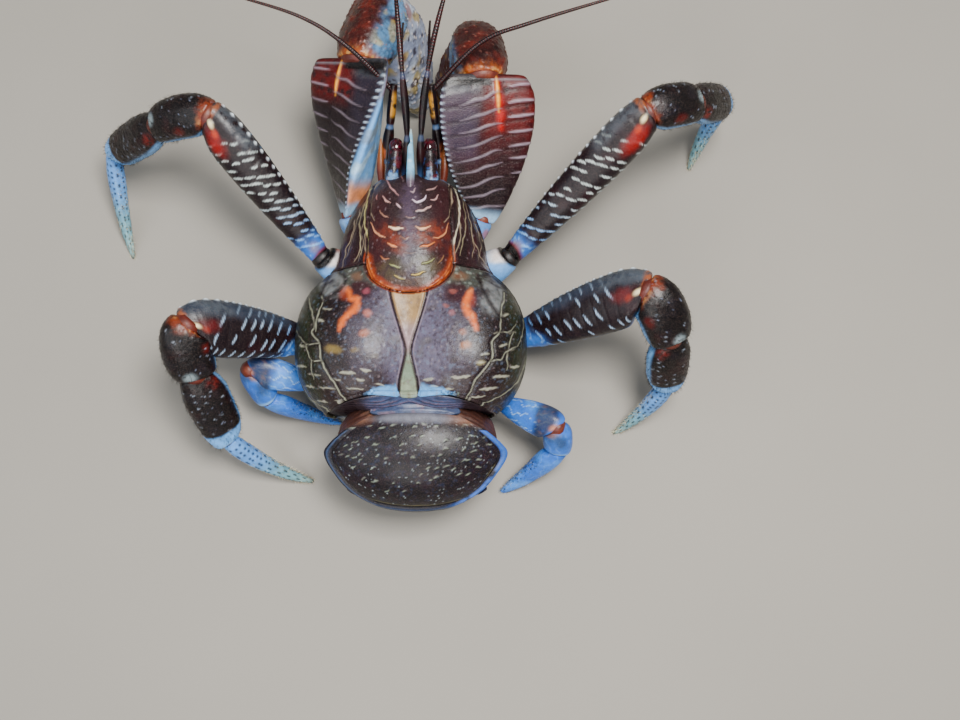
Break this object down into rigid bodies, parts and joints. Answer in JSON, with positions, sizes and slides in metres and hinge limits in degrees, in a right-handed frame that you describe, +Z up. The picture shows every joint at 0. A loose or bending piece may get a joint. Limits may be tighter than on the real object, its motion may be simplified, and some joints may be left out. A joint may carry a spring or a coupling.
{
  "type": "coconut crab",
  "caption": "Life-size coconut crab standing still: ridged armoured trunk, curled plated abdomen, heavy claws folded down in front, long walking legs and ringed feelers.",
  "frame": {"origin": "on the floor, under the centre of the bounding box", "axes": "+Z up, -Y the way the crab faces, +X towards its left side"},
  "size_m": [0.3111, 0.2512, 0.1035],
  "materials": {
    "blue_shell": "satin bright blue shell",
    "dark_shell": "glossy purple-brown shell with pale marks",
    "eye": "polished dark red",
    "feeler": "dark red-brown, ringed",
    "pale_blue_shell": "satin pale blue claw shell with dark spinules",
    "red_shell": "glossy red-brown shell with pale ridges",
    "sac_skin": "soft wrinkled skin",
    "tan_shell": "matt tan to grey-green plate"
  },
  "bodies": {
    "root": {"abdomen_plate_1": "dark_shell", "abdomen_plate_2": "dark_shell", "abdomen_plate_3": "dark_shell", "abdomen_plate_4": "dark_shell", "abdomen_plate_5": "dark_shell", "abdomen_sac": "sac_skin", "antenna_left": "feeler", "antenna_right": "feeler", "antennule_left": "feeler", "antennule_right": "feeler", "belly": "blue_shell", "claw_left_basis": "blue_shell", "claw_left_carpus": "red_shell", "claw_left_finger": "red_shell", "claw_left_merus": "red_shell", "claw_left_palm": "red_shell", "claw_right_basis": "blue_shell", "claw_right_carpus": "red_shell", "claw_right_finger": "red_shell", "claw_right_merus": "red_shell", "claw_right_palm": "red_shell", "dome_left": "dark_shell", "dome_right": "dark_shell", "eye_left": "eye", "eye_right": "eye", "eyestalk_left": "dark_shell", "eyestalk_right": "dark_shell", "flank_left": "dark_shell", "flank_right": "dark_shell", "leg_2_left_basis": "blue_shell", "leg_2_left_carpus": "dark_shell", "leg_2_left_dactyl": "pale_blue_shell", "leg_2_left_merus": "dark_shell", "leg_2_left_propodus": "dark_shell", "leg_2_right_basis": "blue_shell", "leg_2_right_carpus": "dark_shell", "leg_2_right_dactyl": "pale_blue_shell", "leg_2_right_merus": "dark_shell", "leg_2_right_propodus": "dark_shell", "leg_3_left_basis": "blue_shell", "leg_3_left_carpus": "dark_shell", "leg_3_left_dactyl": "pale_blue_shell", "leg_3_left_merus": "dark_shell", "leg_3_left_propodus": "dark_shell", "leg_3_right_basis": "blue_shell", "leg_3_right_carpus": "dark_shell", "leg_3_right_dactyl": "pale_blue_shell", "leg_3_right_merus": "dark_shell", "leg_3_right_propodus": "dark_shell", "leg_4_left_carpus": "blue_shell", "leg_4_left_hand": "pale_blue_shell", "leg_4_left_merus": "blue_shell", "leg_4_right_carpus": "blue_shell", "leg_4_right_hand": "pale_blue_shell", "leg_4_right_merus": "blue_shell", "mouth_leg_left": "blue_shell", "mouth_leg_right": "blue_shell", "shield": "red_shell", "tail_plate": "dark_shell", "wedge": "tan_shell"}
  },
  "joints": []
}
